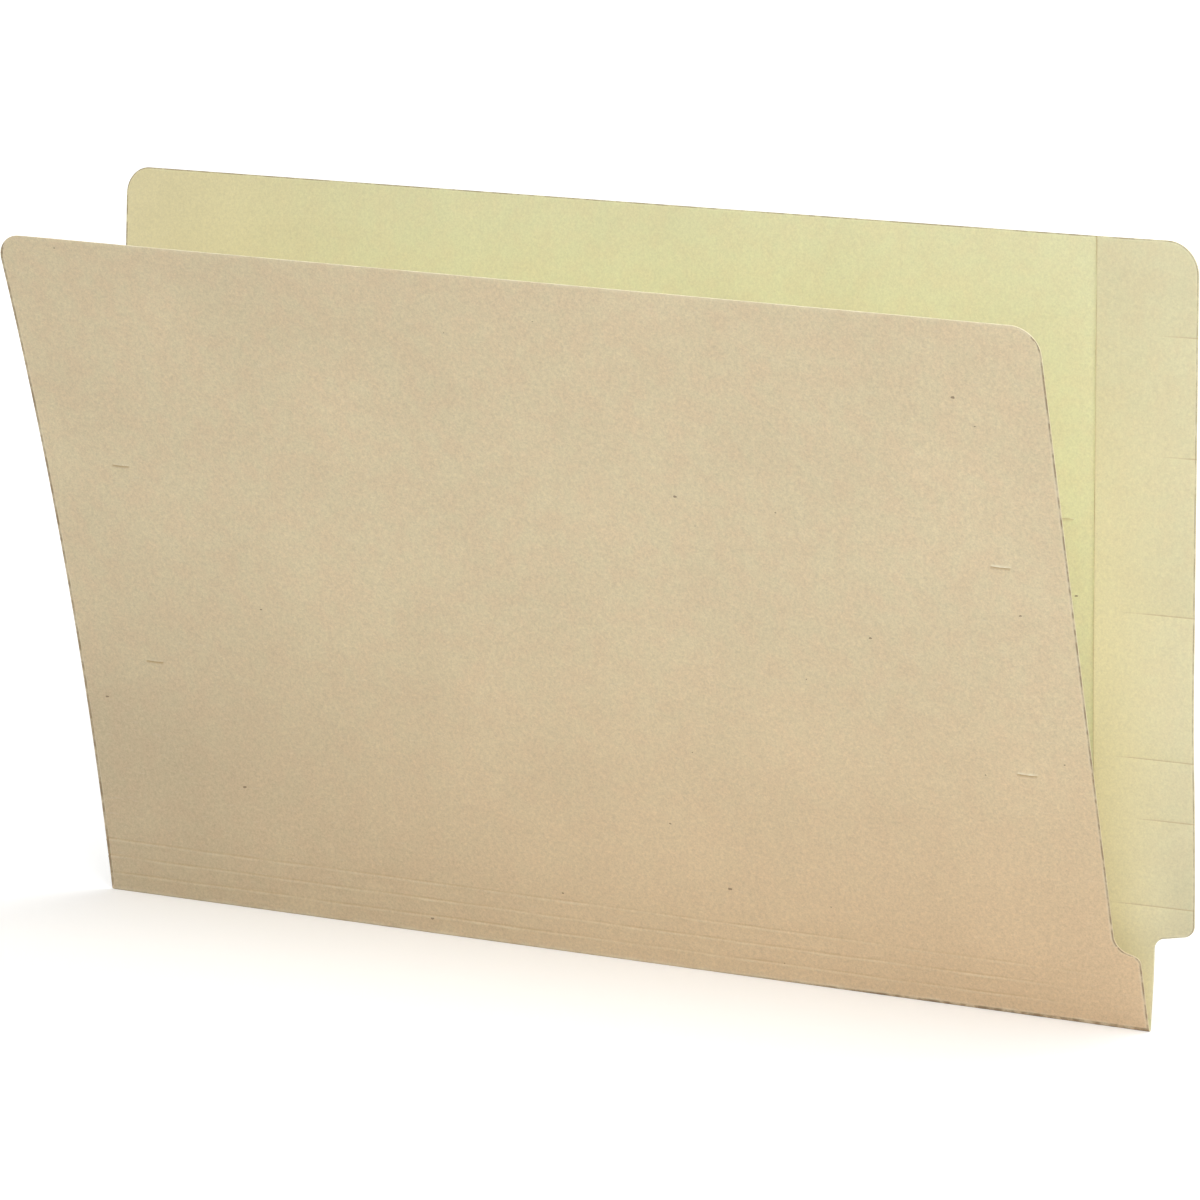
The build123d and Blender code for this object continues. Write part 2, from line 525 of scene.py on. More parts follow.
# the back panel's is the same, with a paler foot tone: less painted shade at its plain end
backFinish = {**outsideFinish, "stock": {**outsideFinish["stock"], "Painted Light Tone": (0.735, 0.61, 0.40, 1)}}
# paler and yellower than the outside: painted light, as the inner faces are lit more than the outer ones
insideFinish = {
    "stock": {
        "Tone": (0.80, 0.785, 0.505, 1),
        "Warm Tone": (0.805, 0.76, 0.49, 1),
        # painted shade with a warm cast at the back's plain end and the cover's foot
        "Painted Light Tone": (0.785, 0.705, 0.44, 1),
        "Mottle": 0.09,
    },
    "flecks": {"Specks": 0.06, "Fibres": 0.05},
    "wear": {"Rub And Highlight Color": (0.90, 0.87, 0.64, 1), "Rub And Highlight": 0.35, "Edge Shade": 0.7, "Crease Shade": 0.6},
    "bump": 0.3,
}
# darker than the inside: painted shade, offsetting the stronger light that falls on the tab
plyFinish = {
    "stock": {
        "Tone": (0.725, 0.68, 0.455, 1),
        "Warm Tone": (0.73, 0.66, 0.44, 1),
        # paler: painted light where the cover shades the ply
        "Painted Light Tone": (0.90, 0.815, 0.53, 1),
        "Mottle": 0.09,
    },
    "flecks": {"Specks": 0.04, "Fibres": 0.05},
    "wear": {"Rub And Highlight Color": (0.88, 0.84, 0.64, 1), "Rub And Highlight": 0.35, "Edge Shade": 0.6, "Crease Shade": 0.5},
    "bump": 0.3,
}
cutFinish = {
    "stock": {
        "Tone": (0.80, 0.73, 0.52, 1),
        "Warm Tone": (0.72, 0.63, 0.42, 1),
        "Painted Light Tone": (0.70, 0.60, 0.40, 1),
        "Mottle": 0.12,
    },
    "flecks": {"Specks": 0.0, "Fibres": 0.2},
    "wear": {"Rub And Highlight Color": (0.90, 0.86, 0.70, 1), "Rub And Highlight": 0.2, "Edge Shade": 0.0, "Crease Shade": 0.3},
    "bump": 0.4,
}
glueFinish = {
    "stock": {
        "Tone": (0.60, 0.45, 0.22, 1),
        "Warm Tone": (0.64, 0.50, 0.27, 1),
        "Painted Light Tone": (0.60, 0.45, 0.22, 1),
        "Mottle": 0.10,
    },
    "flecks": {"Specks": 0.0, "Fibres": 0.0},
    "wear": {"Rub And Highlight Color": (0.7, 0.6, 0.4, 1), "Rub And Highlight": 0.0, "Edge Shade": 0.0, "Crease Shade": 0.2},
    "bump": 0.2,
}
toothDepth = 0.05 * mm
boardGloss = 0.25


def placeGroup(tree, group, values, place, color=None):
    node = addNode(tree, "ShaderNodeGroup", node_tree=group)
    for label, value in values.items():
        node.inputs[label].default_value = value
    tree.links.new(place, node.inputs["Place"])
    if color is not None:
        tree.links.new(color, node.inputs["Color"])
    return node


def boardMaterial(name, finish):
    material = bpy.data.materials.new(name)
    material.use_nodes = True
    tree = material.node_tree
    surface = tree.nodes["Principled BSDF"]
    place = addNode(tree, "ShaderNodeTexCoord").outputs["Object"]
    stock = placeGroup(tree, boardStock, finish["stock"], place)
    flecked = placeGroup(tree, fibreFlecks, finish["flecks"], place, stock.outputs["Color"])
    edged = placeGroup(tree, edgeWearAndShade, finish["wear"], place, flecked.outputs["Color"])
    relief = addNode(tree, "ShaderNodeBump")
    relief.inputs["Strength"].default_value = finish["bump"]
    relief.inputs["Distance"].default_value = toothDepth
    tree.links.new(stock.outputs["Tooth"], relief.inputs["Height"])
    tree.links.new(edged.outputs["Color"], surface.inputs["Base Color"])
    tree.links.new(stock.outputs["Roughness"], surface.inputs["Roughness"])
    tree.links.new(relief.outputs["Normal"], surface.inputs["Normal"])
    surface.inputs["Specular IOR Level"].default_value = boardGloss
    material.diffuse_color = finish["stock"]["Tone"]
    return material


outsideBoard = boardMaterial("manilaOutside", outsideFinish)
backBoard = boardMaterial("manilaBack", backFinish)
insideBoard = boardMaterial("manilaInside", insideFinish)
plyBoard = boardMaterial("manilaTabPly", plyFinish)
cutBoard = boardMaterial("manilaCutEdge", cutFinish)
gluedLine = boardMaterial("driedGlue", glueFinish)
print("materials made:", len(bpy.data.materials))


# Fastener slits: cuts whose upper lip has lifted a little

slitSizes = {
    "length": 7.5 * mm,
    "gap": 0.08 * mm,
    "spacing": 69.85 * mm,
    "inset": 30.0 * mm,
    "lipReach": 3.2 * mm,
    "lipMiddle": 0.6,  # share of that reach with a row of its own
    "lipFall": 1.5,
    "paleWidth": 0.96 * mm,
    "darkWidth": 1.2 * mm,
    "upperLift": 0.32 * mm,
    "lowerDrop": 0.1 * mm,
    "backShare": 0.3,  # the lips of the back panel have lifted less
    "tabEndLipHighlight": 5.0,  # the painted highlight on the upper lips is strongest near the tab
    "plainEndLipHighlight": 0.9,
    "coverSlitShade": 1.2,
    "backSlitShade": 0.7,
    "lineFade": 6,  # a high power, so the lines stay strong almost to their ends
    "columns": (-1.3, -1, -0.75, -0.4, 0, 0.4, 0.75, 1, 1.3),  # in half lengths
}
slitX = bodyEnd - slitSizes["inset"]
slitRise = slitSizes["spacing"] / 2
slitPlaces = [(side * slitX, backTop / 2 + up * slitRise) for side in (-1, 1) for up in (-1, 1)]


def slitCuts():
    s = slitSizes
    half = s["gap"] / 2
    reach = s["lipReach"]
    rows = sorted({z for x, z in slitPlaces})
    columns = sorted({x for x, z in slitPlaces})
    steps = (-reach, -s["darkWidth"], -half, half, s["paleWidth"], s["lipMiddle"] * reach, reach)
    heights = [z + step for z in rows for step in steps]
    edges = [x + d * s["length"] / 2 for x in columns for d in s["columns"]]
    return heights, edges


def openSlits(obj):
    half = slitSizes["gap"] / 2
    reach = slitSizes["length"] / 2
    pickFaces(obj, lambda c: any(abs(c.x - x) < reach and abs(c.z - z) < half for x, z in slitPlaces))
    bpy.ops.mesh.delete(type="FACE")


def besideSlits(co, above, reach):
    # places along the slits that a point is beside, from 0 in the middle to 1 at an end, and how far away
    side = 1 if above else -1
    spans = [(abs(co.x - x) / (slitSizes["length"] / 2), (co.z - z) * side) for x, z in slitPlaces]
    return [(along, away) for along, away in spans if along < 1 and 0 < away < reach]


def lipWeight(co, above):
    reach = slitSizes["lipReach"]
    fall = slitSizes["lipFall"]
    beside = besideSlits(co, above, reach)
    return max([(1 - along ** 2) * (1 - away / reach) ** fall for along, away in beside], default=0.0)


def liftLips(obj, share=1.0):
    pointGroup(obj, "upperLip", lambda co: lipWeight(co, True))
    pointGroup(obj, "lowerLip", lambda co: lipWeight(co, False))
    pushOut(obj, "upperLip", share * slitSizes["upperLift"])
    pushOut(obj, "lowerLip", -share * slitSizes["lowerDrop"])


def slitLine(co, above):
    # a line along one side of a slit, as wide as the first row of faces beside it
    beside = besideSlits(co, above, slitSizes["gap"])
    return max([1 - along ** slitSizes["lineFade"] for along, away in beside], default=0.0)


# painted highlight on the upper lip of each slit
def paintedLipHighlight(co):
    return slitLine(co, True) * slitSizes["tabEndLipHighlight" if co.x > 0 else "plainEndLipHighlight"]


def atSlit(co):
    reach = slitSizes["length"]
    return any(abs(co.x - x) < reach and abs(co.z - z) < slitSizes["gap"] for x, z in slitPlaces)


def rimOf(obj, bottom):
    # points on the outline of the flat board, but not where it goes on into the fold
    mesh = bmesh.new()
    mesh.from_mesh(obj.data)
    found = {v.index for v in mesh.verts if v.is_boundary and v.co.z > bottom + near and not atSlit(v.co)}
    mesh.free()
    return found


# Back panel with its end tab

backSizes = {
    "plainCorner": 9.0 * mm,
    "tabFoot": 28.3 * mm,
    "tabFootRise": 2.3 * mm,
    "tabTopCorner": 10.0 * mm,
    "tabFootCorner": 3.0 * mm,
    "tabRootFillet": 3.0 * mm,
    "rimBand": 1.0 * mm,
    "rimShade": 0.85,
    "plainEndShade": 1.3,
    "endShadeReach": -60.0 * mm,  # the painted shade of the plain end reaches as far as here
    "column": 7.0 * mm,
    "row": 7.0 * mm,
    "cageColumns": 49,
    "cageRows": 17,
    "plainLean": 9.5 * mm,  # how far the top corners have moved back
    "tabLean": -10.8 * mm,
    "stiffMargin": 2.0 * mm,  # past the second ply, where it still keeps the sheet from twisting
    "tabCurl": 2.8 * mm,  # the tab's lower end curls back a little
    "curlTop": 0.4,  # share of the height where the curl has died away
    "curlSkew": 0.7,  # under 1, so that it is most below the middle of that
    "curlPower": 4,  # keeps it to the tab's end
    "bendSteps": 8,
}
stockSpare = 2.0 * mm  # the leans are those of the uncut stock, this much longer at each end


def alongStock(x, end):
    start = plainEnd - stockSpare
    return min((x - start) / (end - start), 1.0)


def backTwist(across, up):
    s = backSizes
    along = alongStock(plainEnd + (tabEdge - plainEnd) * across, plyLow.x - s["stiffMargin"])
    twist = (s["plainLean"] * (1 - along) + s["tabLean"] * along) * up
    curl = sin(pi * min(1.0, up / s["curlTop"]) ** s["curlSkew"])
    return twist + s["tabCurl"] * across ** s["curlPower"] * curl


def twistBack(obj):
    low = Vector((plainEnd, innerGap, foldHeight))
    high = Vector((tabEdge, innerGap, backTop))
    bentByLattice(obj, low, high, backTwist, backSizes["cageColumns"], backSizes["cageRows"])


def backOutline(name):
    s = backSizes
    obj = flatBoard(name, plainEnd, bodyEnd, foldHeight, backTop, innerGap)
    editMesh(obj)
    cutAcross([s["tabFoot"]])
    pickPoints(obj, lambda co: co.x > bodyEnd - near and co.z > s["tabFoot"] - near)
    bpy.ops.mesh.extrude_edges_move(TRANSFORM_OT_translate={"value": (tabEdge - bodyEnd, 0, 0)})
    pickPoints(obj, lambda co: co.x > tabEdge - near and co.z < s["tabFoot"] + near)
    bpy.ops.transform.translate(value=(0, 0, s["tabFootRise"]))
    pickAll()
    bpy.ops.mesh.dissolve_limited(angle_limit=flatAngle)
    roundCorner(obj, tabEdge, s["tabFoot"] + s["tabFootRise"], s["tabFootCorner"])
    roundCorner(obj, tabEdge, backTop, s["tabTopCorner"], "fine")
    roundCorner(obj, plainEnd, backTop, s["plainCorner"])
    roundCorner(obj, bodyEnd, s["tabFoot"], s["tabRootFillet"])
    bandInside(s["rimBand"])
    return obj


def backRim(co):
    # painted shade line along the edges: strongest along the plain end, below its corner
    s = backSizes
    if co.x < plainEnd + near and co.z < backTop - s["plainCorner"]:
        return s["plainEndShade"]
    return s["rimShade"]


# painted shade, darker and warmer towards the back's plain end, with a warm cast bounced from the cover
def paintedPlainEndShade(co):
    return smoothStep((backSizes["endShadeReach"] - co.x) / (backSizes["endShadeReach"] - plainEnd))


def makeBack():
    s = backSizes
    obj = backOutline("backSheet")
    slitHeights, slitEdges = slitCuts()
    cutAcross(slitHeights, near)
    cutUpright(slitEdges)
    cutAcross(evenCuts(foldHeight, backTop, s["row"], slitHeights))
    cutUpright(evenCuts(plainEnd, tabEdge, s["column"], slitEdges))
    openSlits(obj)
    leaveEdit()
    paintRim(obj, rimOf(obj, foldHeight), backRim)
    paintPoints(obj, "foot", paintedPlainEndShade)
    # painted shade below the slits
    paintPoints(obj, "crease", lambda co: slitSizes["backSlitShade"] * slitLine(co, False))
    liftLips(obj, slitSizes["backShare"])
    applyModifiers(obj)
    twistBack(obj)
    editMesh(obj)
    pickPoints(obj, lambda co: co.z < foldHeight + near)
    # spin turns clockwise
    bpy.ops.mesh.spin(steps=s["bendSteps"], angle=radians(90), center=(0, 0, foldHeight), axis=(1, 0, 0))
    mergeDoubles()
    leaveEdit()
    dress(obj, insideBoard, backBoard, cutBoard)
    giveThickness(obj, board)
    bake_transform(obj)
    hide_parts("back_panel")
    return obj


backSheet = makeBack()
print("back panel made:", len(backSheet.data.polygons), "faces")


# Second ply of the tab, with its guide scores, and the glue that shows beside it

plySizes = {
    "column": 6.0 * mm,
    "row": 7.0 * mm,
    "markWidth": 0.55 * mm,
    "markDepth": 0.10 * mm,
    "markRoom": 0.5 * mm,
    "markEnd": 1.05,  # of a mark's length, where it has died away
    "markFade": 0.35,
    "creaseSpread": 0.5,  # of a mark's width, that gets painted shade
    "shadedHeight": 190.0 * mm,
    "shadeTop": 1.25,  # of that height
    "outerShade": 0.25,  # at the tab's edge, 1 at the ply's inner edge
    "darkeningHeight": 95.0 * mm,
}
glueSizes = {
    "show": 0.22 * mm,
    "row": 7.0 * mm,
    "wave": 0.25 * mm,
    "waveScale": 90,
}
# each guide score by its height above the foot and its length from the tab's edge
guideScores = [
    {"height": 212.9 * mm, "length": 7.8 * mm},
    {"height": 176.8 * mm, "length": 7.5 * mm},
    {"height": 128.8 * mm, "length": 21.5 * mm},
    {"height": 84.3 * mm, "length": 24.5 * mm},
    {"height": 65.5 * mm, "length": 16.5 * mm},
    {"height": 38.6 * mm, "length": 26.0 * mm},
]


def guideWeight(co, spread=1.0):
    s = plySizes
    best = 0.0
    for mark in guideScores:
        inward = (tabEdge - co.x) / mark["length"]
        away = abs(co.z - mark["height"]) / (spread * s["markWidth"])
        if away < 1:
            best = max(best, (1 - away) * smoothStep((s["markEnd"] - inward) / s["markFade"]))
    return best


def inwardOnPly(co):
    return smoothStep((tabEdge - co.x) / (tabEdge - plyLow.x))


def paintedLightUnderCover(co):
    # painted light: the ply is painted paler and yellower where the cover shades it, most at its inner edge
    s = plySizes
    low = smoothStep(s["shadeTop"] - co.z / s["shadedHeight"])
    return low * (s["outerShade"] + (1 - s["outerShade"]) * inwardOnPly(co))


def darkerTabFoot(co):
    # darker towards the tab's lower outer end
    tabFoot = backSizes["tabFoot"]
    low = smoothStep((plySizes["darkeningHeight"] - co.z) / (plySizes["darkeningHeight"] - tabFoot))
    onTab = smoothStep((co.z - tabFoot / 2) / (tabFoot / 2))
    return low * onTab * (1 - inwardOnPly(co)) ** 2


def trimToTab(inner):
    pickAll()
    bpy.ops.mesh.bisect(plane_co=(inner, 0, 0), plane_no=(1, 0, 0), clear_inner=True)
    pickAll()
    bpy.ops.mesh.bisect(plane_co=(0, 0, plyLow.z), plane_no=(0, 0, 1), clear_inner=True)


def bringForward(distance):
    pickAll()
    bpy.ops.transform.translate(value=(0, -distance, 0))


def makePly():
    s = plySizes
    obj = backOutline("tabPly")
    trimToTab(plyLow.x)
    half = s["markWidth"] / 2
    markHeights = [mark["height"] + d * half for mark in guideScores for d in range(-2, 3)]
    cutAcross(markHeights)
    cutAcross(evenCuts(plyLow.z, backTop, s["row"], markHeights, s["markRoom"]))
    cutUpright(evenCuts(plyLow.x, tabEdge, s["column"]))
    bringForward(glueFilm + 2 * glueSeat + board)
    leaveEdit()
    # painted shade line along the ply's outer outline
    outline = rimOf(obj, backSizes["tabFoot"])
    rim = [k for k in outline if obj.data.vertices[k].co.x > plyLow.x + near]
    paintRim(obj, rim, lambda co: backSizes["rimShade"])
    paintPoints(obj, "foot", paintedLightUnderCover)
    paintPoints(obj, "darkening", darkerTabFoot)
    # painted shade in the guide scores
    paintPoints(obj, "crease", lambda co: guideWeight(co, s["creaseSpread"]))
    pointGroup(obj, "guideScore", guideWeight)
    pushOut(obj, "guideScore", -s["markDepth"])
    applyModifiers(obj)
    twistBack(obj)
    dress(obj, plyBoard, outsideBoard, cutBoard)
    giveThickness(obj, board)
    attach(obj, "back")
    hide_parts("tab_ply")
    return obj


def makeGlue():
    s = glueSizes
    obj = backOutline("tabGlue")
    trimToTab(plyLow.x - s["show"])
    cutAcross(evenCuts(plyLow.z, backTop, s["row"]))
    bringForward(glueFilm + glueSeat)
    leaveEdit()
    for vert in obj.data.vertices:
        if vert.co.x < plyLow.x - s["show"] / 2:
            vert.co.x += s["wave"] * noise.noise(Vector((0.0, 0.0, vert.co.z * s["waveScale"])))
    twistBack(obj)
    dress(obj, gluedLine, gluedLine, gluedLine)
    giveThickness(obj, glueFilm)
    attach(obj, "back")
    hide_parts("tab_glue")
    return obj


tabPly = makePly()
tabGlue = makeGlue()
print("tab ply made:", len(tabPly.data.polygons), "faces, with", len(guideScores), "guide scores")
print("glue line made:", len(tabGlue.data.polygons), "faces")


# Cover, and the scored foot that it grows from

coverSizes = {
    "height": 234.95 * mm,
    "cutback": 8.0 * mm,
    "stepHeight": 26.0 * mm,
    "stepRise": 2.5 * mm,
    "stepCorner": 2.0 * mm,
    "stepFillet": 4.0 * mm,
    "plainCorner": 9.0 * mm,
    "tabCorner": 9.0 * mm,
    "rimBand": 1.4 * mm,
    "column": 2.4 * mm,
    "row": 7.0 * mm,
    "cageColumns": 7,
    "cageRows": 61,
    "plainLean": 5.3 * mm,  # how far the top corners have moved back
    "tabLean": -7.6 * mm,
    "plainSag": 5.6 * mm,  # of the edge away from the tab, behind the straight line to its top
    "bendSteps": 7,
    "topBand": 2.7 * mm,  # below the top, where the edge is pale (wear and a painted highlight) and has no painted shade line
    "topRim": 0.42,
    "tabRim": 1.0,
    "plainRim": 1.5,
    "plainFootRim": 0.4,  # more at the foot of the plain end
    "foldRim": 0.4,  # along the bend, 1 at the tab
    "foldBand": 1.2,  # of the fold's radius
    "footShadeHeight": 150.0 * mm,
    "plainShadeShare": 0.3,  # at the plain end, 1 at the tab
    "darkeningHeight": 120.0 * mm,
    "footShadeTop": 1.3,  # of that height
    "footShadeEnd": 40.0 * mm,
}
coverTop = coverSizes["height"]
scoreSizes = {
    "ridge": 0.16 * mm,
    "valley": 0.09 * mm,
    "ridgeWidth": 0.55 * mm,
    "valleyAbove": 0.75 * mm,
    "rows": (-1, -0.5, 0, 0.5, 1, 1.5, 2.4),  # in ridge widths
    "ridgeHighlight": 0.9,
    "valleyShade": 0.45,
    "fadeStart": 125.0 * mm,  # the scores die away towards the tab
    "fadeEnd": 182.0 * mm,
    "fadeDepth": 0.85,
    "strength": 0.72,
    "leastStrength": 0.15,
    "mostStrength": 1.1,
    "slow": {"amount": 0.3, "scale": 35, "rowScale": 900, "seed": 3.1},
    "quick": {"amount": 0.55, "scale": 140, "rowScale": 900, "seed": 7.7},
    "wander": {"amount": 0.28 * mm, "scale": 55, "rowScale": 700, "seed": 1.3},
}
scoreHeights = [scorePitch * (k + 1) for k in range(len(scoreNames))]
seamHeights = [scorePitch * (k + 0.5) for k in range(len(scoreNames))]  # mid strip, where nothing bends


def scoreNoise(x, height, kind):
    n = scoreSizes[kind]
    return n["amount"] * noise.noise(Vector((x * n["scale"], height * n["rowScale"], n["seed"])))


def scoreStrength(x, height):
    s = scoreSizes
    fade = 1 - s["fadeDepth"] * smoothStep((x - s["fadeStart"]) / (s["fadeEnd"] - s["fadeStart"]))
    uneven = s["strength"] + scoreNoise(x, height, "slow") + scoreNoise(x, height, "quick")
    return fade * min(s["mostStrength"], max(s["leastStrength"], uneven))


def scoreWeight(co, above=0.0):
    # the die has left each score a little crooked
    best = 0.0
    for height in scoreHeights:
        path = height + scoreNoise(co.x, height, "wander")
        away = abs(co.z - path - above) / scoreSizes["ridgeWidth"]
        if away < 1:
            best = max(best, (1 - away) * scoreStrength(co.x, height))
    return best


def valleyWeight(co):
    return scoreWeight(co, scoreSizes["valleyAbove"])


def coverRim(co):
    # painted shade line along the edges: strongest along the plain end, most at its foot; the top is left
    # pale
    s = coverSizes
    if co.z > coverTop - s["topBand"]:
        return s["topRim"]
    if co.x > 0:
        return s["tabRim"]
    return s["plainRim"] + s["plainFootRim"] * smoothStep(1 - co.z / s["footShadeHeight"])


# painted shade: darker and warmer towards the cover's foot, most towards the tab
def paintedFootShade(co):
    s = coverSizes
    across = (co.x - plainEnd) / (bodyEnd - plainEnd)
    return smoothStep(1 - co.z / s["footShadeHeight"]) * (s["plainShadeShare"] + (1 - s["plainShadeShare"]) * across)


# painted shade: darker towards the foot of the cover's plain end
def paintedPlainFootShade(co):
    s = coverSizes
    plainSide = smoothStep((s["footShadeEnd"] - co.x) / (s["footShadeEnd"] - plainEnd))
    return smoothStep(s["footShadeTop"] - co.z / s["darkeningHeight"]) * plainSide


# painted highlight along the score ridges and the slits' upper lips
def paintedCrestHighlight(co):
    return max(scoreSizes["ridgeHighlight"] * scoreWeight(co), paintedLipHighlight(co))


# painted shade below the slits and in the valley above each score
def paintedCreaseShade(co):
    return max(slitSizes["coverSlitShade"] * slitLine(co, False), scoreSizes["valleyShade"] * valleyWeight(co))


def coverSet(across, up):
    s = coverSizes
    along = alongStock(plainEnd + (bodyEnd - plainEnd) * across, bodyEnd + stockSpare)
    lean = s["plainLean"] * (1 - along) + s["tabLean"] * along
    return lean * up + 4 * s["plainSag"] * (1 - along) * up * (1 - up)  # a parabola, most half way up


def coverOutline():
    s = coverSizes
    stepX = bodyEnd - s["cutback"]
    obj = flatBoard("coverSheet", plainEnd, bodyEnd, foldHeight, s["stepHeight"], coverFace)
    editMesh(obj)
    cutUpright([stepX])
    pickPoints(obj, lambda co: co.x < stepX + near and co.z > s["stepHeight"] - near)
    bpy.ops.mesh.extrude_edges_move(TRANSFORM_OT_translate={"value": (0, 0, coverTop - s["stepHeight"])})
    pickPoints(obj, lambda co: abs(co.x - stepX) < near and abs(co.z - s["stepHeight"]) < near)
    bpy.ops.transform.translate(value=(0, 0, s["stepRise"]))
    pickAll()
    bpy.ops.mesh.dissolve_limited(angle_limit=flatAngle)
    roundCorner(obj, bodyEnd, s["stepHeight"], s["stepCorner"], "small")
    roundCorner(obj, stepX, s["stepHeight"] + s["stepRise"], s["stepFillet"], "fillet")
    roundCorner(obj, stepX, coverTop, s["tabCorner"], "fine")
    roundCorner(obj, plainEnd, coverTop, s["plainCorner"])
    bandInside(s["rimBand"])
    return obj


def makeCoverSheet():
    s = coverSizes
    obj = coverOutline()
    slitHeights, slitEdges = slitCuts()
    scoreRows = [h + d * scoreSizes["ridgeWidth"] for h in scoreHeights for d in scoreSizes["rows"]]
    cutAcross(slitHeights, near)
    cutAcross(scoreRows + seamHeights)
    cutUpright(slitEdges)
    cutAcross(evenCuts(scoreRows[-1], coverTop, s["row"], slitHeights + scoreRows + seamHeights))
    cutUpright(evenCuts(plainEnd, bodyEnd, s["column"], slitEdges))
    openSlits(obj)
    leaveEdit()
    paintRim(obj, rimOf(obj, foldHeight), coverRim)
    paintPoints(obj, "foot", paintedFootShade)
    paintPoints(obj, "darkening", paintedPlainFootShade)
    paintPoints(obj, "crest", paintedCrestHighlight)
    paintPoints(obj, "crease", paintedCreaseShade)
    liftLips(obj)
    pointGroup(obj, "scoreRidge", scoreWeight)
    pointGroup(obj, "scoreValley", valleyWeight)
    pushOut(obj, "scoreRidge", scoreSizes["ridge"])
    pushOut(obj, "scoreValley", -scoreSizes["valley"])
    applyModifiers(obj)
    low = Vector((plainEnd, coverFace, foldHeight))
    high = Vector((bodyEnd, coverFace, coverTop))
    bentByLattice(obj, low, high, coverSet, s["cageColumns"], s["cageRows"])
    return obj


def partAtSeams(obj):
    # from the foot up: the fold with half a strip, two scored strips, and the cover with the last score
    pieces = []
    for height in seamHeights:
        editMesh(obj)
        before = set(bpy.data.objects)
        pickFaces(obj, lambda c: c.z < height)
        bpy.ops.mesh.separate(type="SELECTED")
        leaveEdit()
        pieces += [o for o in bpy.data.objects if o not in before]
    return pieces + [obj]


def turnToRest(obj):
    # from the closed folder to the angle it rests at, round the fold's axis
    turn = Matrix.Rotation(coverAngle, 4, "X")
    axis = Matrix.Translation(foldAxis)
    obj.matrix_world = axis @ turn @ axis.inverted() @ obj.matrix_world
    onlySelect(obj)
    bpy.ops.object.transform_apply(location=True, rotation=True, scale=True)


def paintFoldShadow(obj):
    # painted shadow along the foot of the bend, strongest at its end at the tab
    s = coverSizes
    layer = obj.data.attributes["rim"]
    for vert in obj.data.vertices:
        if vert.co.z < s["foldBand"] * foldHeight:
            towardsTab = smoothStep(vert.co.x / bodyEnd)
            layer.data[vert.index].value = s["foldRim"] + (1 - s["foldRim"]) * towardsTab


def bendToFoot(obj, tangent):
    # the bend goes on from the edge where the strip meets it, down to the fold's lowest line
    editMesh(obj)
    pickPoints(obj, lambda co: (Vector((0, co.y, co.z)) - tangent).length < near)
    bend = radians(90) - coverAngle
    bpy.ops.mesh.spin(steps=coverSizes["bendSteps"], angle=bend, center=(0, 0, foldHeight), axis=(-1, 0, 0))
    mergeDoubles()
    leaveEdit()
    paintFoldShadow(obj)


def makeCover():
    pieces = partAtSeams(makeCoverSheet())
    for piece, name in zip(pieces, ("coverFold", "scoredStrip1", "scoredStrip2", "coverSheet")):
        piece.name = name
        turnToRest(piece)
    foot, lowScore, midScore, cover = pieces
    tangent = (0, coverFace * cos(coverAngle), foldHeight + coverFace * sin(coverAngle))
    bendToFoot(foot, Vector(tangent))
    for piece in pieces:
        dress(piece, outsideBoard, insideBoard, cutBoard)
        giveThickness(piece, board)
    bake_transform(foot)
    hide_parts("bottom_fold")
    # each scored piece is baked where it rests, and the CAD strip and bead it stands for are hidden
    for k, piece in enumerate((lowScore, midScore, cover)):
        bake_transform(piece)
        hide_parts(f"gusset_strip_{k + 1}", f"score_bead_{k + 1}")
    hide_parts("cover_panel")
    return pieces


coverPieces = makeCover()
print("cover made:", [len(piece.data.polygons) for piece in coverPieces], "faces")


# Floor, light and camera

studio = {
    "floorReach": 16.0,
    "floorColor": (0.85, 0.85, 0.845, 1),
    "floorRoughness": 0.9,
    "floorGloss": 0.1,
    "lift": (0.22, 0.7),  # near and far, added to the floor as it is seen, never to its light
    "liftReach": (0.35, 1.6),
    "skyLight": 0.5,
}
lampAim = (0, 0, 0.12)
lamps = [
    {"name": "topLamp", "place": (0.15, -0.35, 1.3), "size": 0.9, "power": 8.0},
    {
        "name": "sideLamp",
        "place": (0.9, -1.1, 0.9),
        "size": 0.6,
        "power": 0.33,
        "aim": (0.08, -0.05, 0.24),
        "spread": radians(38),
    },
    {"name": "gapLamp", "place": (1.1, -0.3, 0.3), "size": 0.4, "power": 2.0},  # looks between the panels
    {"name": "backLamp", "place": (0.5, 1.2, 1.6), "size": 1.4, "power": 12.0},
]


def seenDirectly(tree):
    # 1 for what the camera sees, also in a mirror or through glass
    rays = addNode(tree, "ShaderNodeLightPath")
    bounced = mathNode(tree, "MAXIMUM", rays.outputs["Is Glossy Ray"], rays.outputs["Is Transmission Ray"])
    return mathNode(tree, "MAXIMUM", rays.outputs["Is Camera Ray"], bounced)


def makeFloor():
    bpy.ops.object.select_all(action="DESELECT")
    bpy.ops.mesh.primitive_plane_add(size=studio["floorReach"])
    floor = bpy.context.active_object
    floor.name = "floor"
    paint = bpy.data.materials.new("floorPaint")
    paint.use_nodes = True
    tree = paint.node_tree
    surface = tree.nodes["Principled BSDF"]
    surface.inputs["Base Color"].default_value = studio["floorColor"]
    surface.inputs["Roughness"].default_value = studio["floorRoughness"]
    surface.inputs["Specular IOR Level"].default_value = studio["floorGloss"]
    surface.inputs["Emission Color"].default_value = white
    place = addNode(tree, "ShaderNodeTexCoord").outputs["Object"]
    away = addNode(tree, "ShaderNodeVectorMath", operation="LENGTH")
    tree.links.new(place, away.inputs[0])
    amount = rangeNode(tree, away.outputs["Value"], studio["liftReach"], studio["lift"])
    lift = timesNode(tree, seenDirectly(tree), amount)
    tree.links.new(lift, surface.inputs["Emission Strength"])
    floor.data.materials.append(paint)


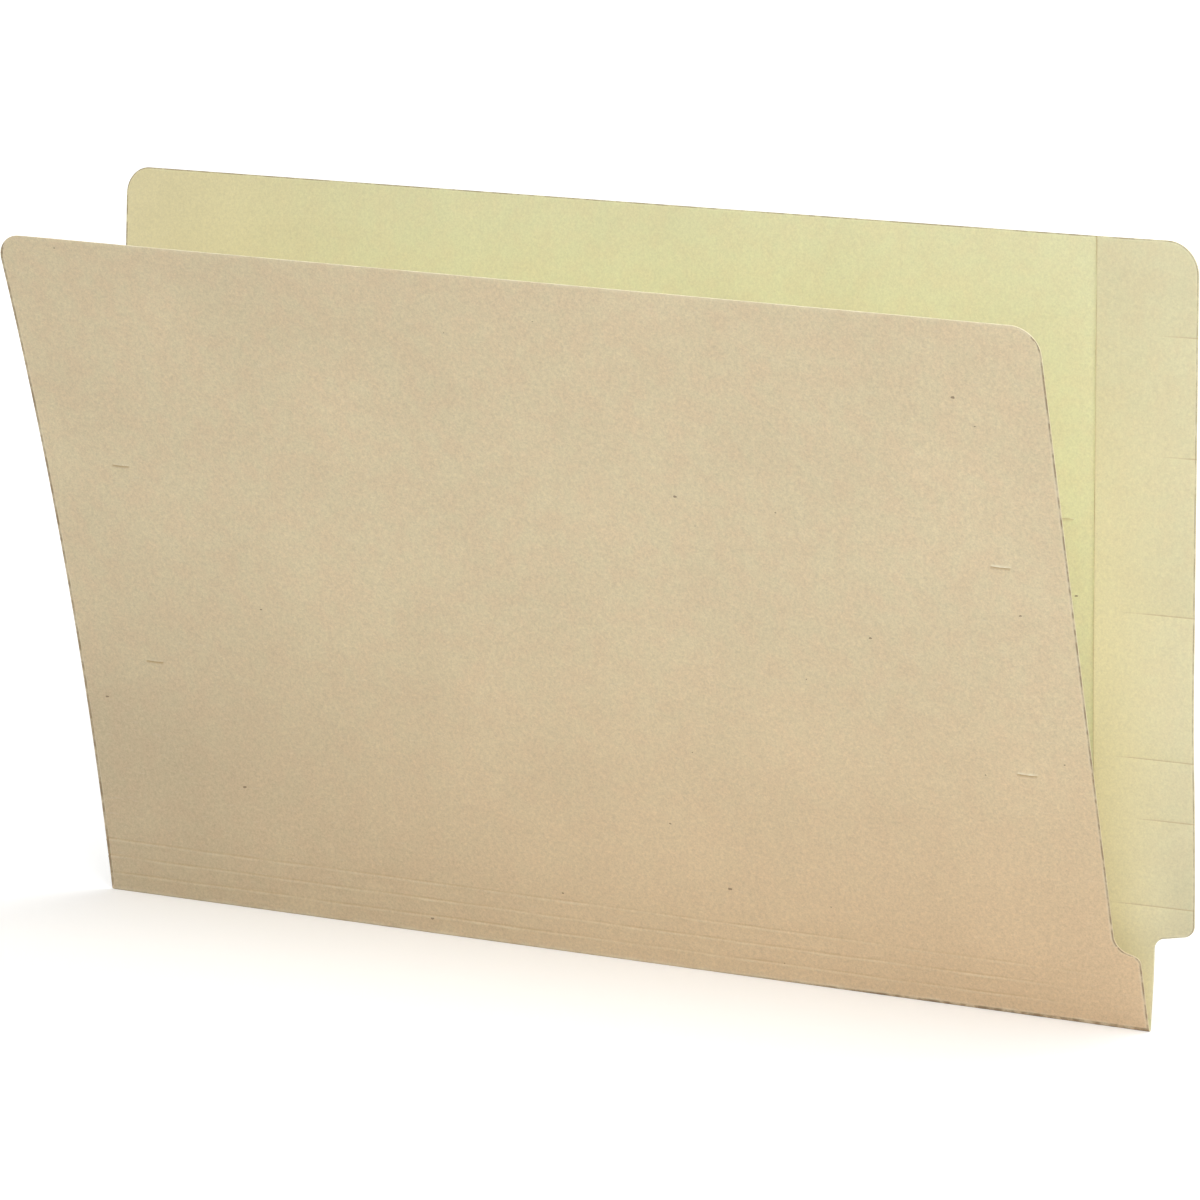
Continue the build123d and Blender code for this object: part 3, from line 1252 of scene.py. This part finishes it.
def makeSky():
    world = bpy.data.worlds.new("softRoom")
    bpy.context.scene.world = world
    world.use_nodes = True
    tree = world.node_tree
    tree.nodes.clear()
    seen = addNode(tree, "ShaderNodeBackground")
    seen.inputs["Color"].default_value = white
    lit = addNode(tree, "ShaderNodeBackground")
    lit.inputs["Color"].default_value = white
    lit.inputs["Strength"].default_value = studio["skyLight"]
    either = addNode(tree, "ShaderNodeMixShader")
    end = addNode(tree, "ShaderNodeOutputWorld")
    tree.links.new(seenDirectly(tree), either.inputs["Fac"])
    tree.links.new(lit.outputs["Background"], either.inputs[1])
    tree.links.new(seen.outputs["Background"], either.inputs[2])
    tree.links.new(either.outputs["Shader"], end.inputs["Surface"])


def makeLamp(name, place, size, power, aim=lampAim, spread=pi):
    bpy.ops.object.select_all(action="DESELECT")
    bpy.ops.object.light_add(type="AREA", location=place)
    lamp = bpy.context.active_object
    lamp.name = name
    lamp.data.shape = "DISK"
    lamp.data.size = size
    lamp.data.energy = power
    lamp.data.spread = spread
    lamp.rotation_euler = (Vector(aim) - Vector(place)).to_track_quat("-Z", "Y").to_euler()


view = {
    "azimuth": radians(28.454),  # round from straight in front, towards the tab
    "elevation": radians(9.8),
    "roll": radians(0.644),
    "distance": 1.74047,
    "target": Vector((-3.558 * mm, 0, 114.906 * mm)),
    "lens": 165.63,
    "sensor": 36,
    "clipEnd": 60,
}


def makeCamera():
    level = cos(view["elevation"])
    away = Vector((sin(view["azimuth"]) * level, -cos(view["azimuth"]) * level, sin(view["elevation"])))
    bpy.ops.object.select_all(action="DESELECT")
    bpy.ops.object.camera_add(location=view["target"] + away * view["distance"])
    camera = bpy.context.active_object
    facing = away.to_track_quat("Z", "Y").to_matrix() @ Matrix.Rotation(view["roll"], 3, "Z")
    camera.rotation_euler = facing.to_euler()
    camera.data.lens = view["lens"]
    camera.data.sensor_width = view["sensor"]
    camera.data.clip_end = view["clipEnd"]
    bpy.context.scene.camera = camera


makeFloor()
makeSky()
for lamp in lamps:
    makeLamp(**lamp)
makeCamera()
bpy.context.scene.view_settings.view_transform = "Standard"
print("studio made:", len(lamps), "lamps")
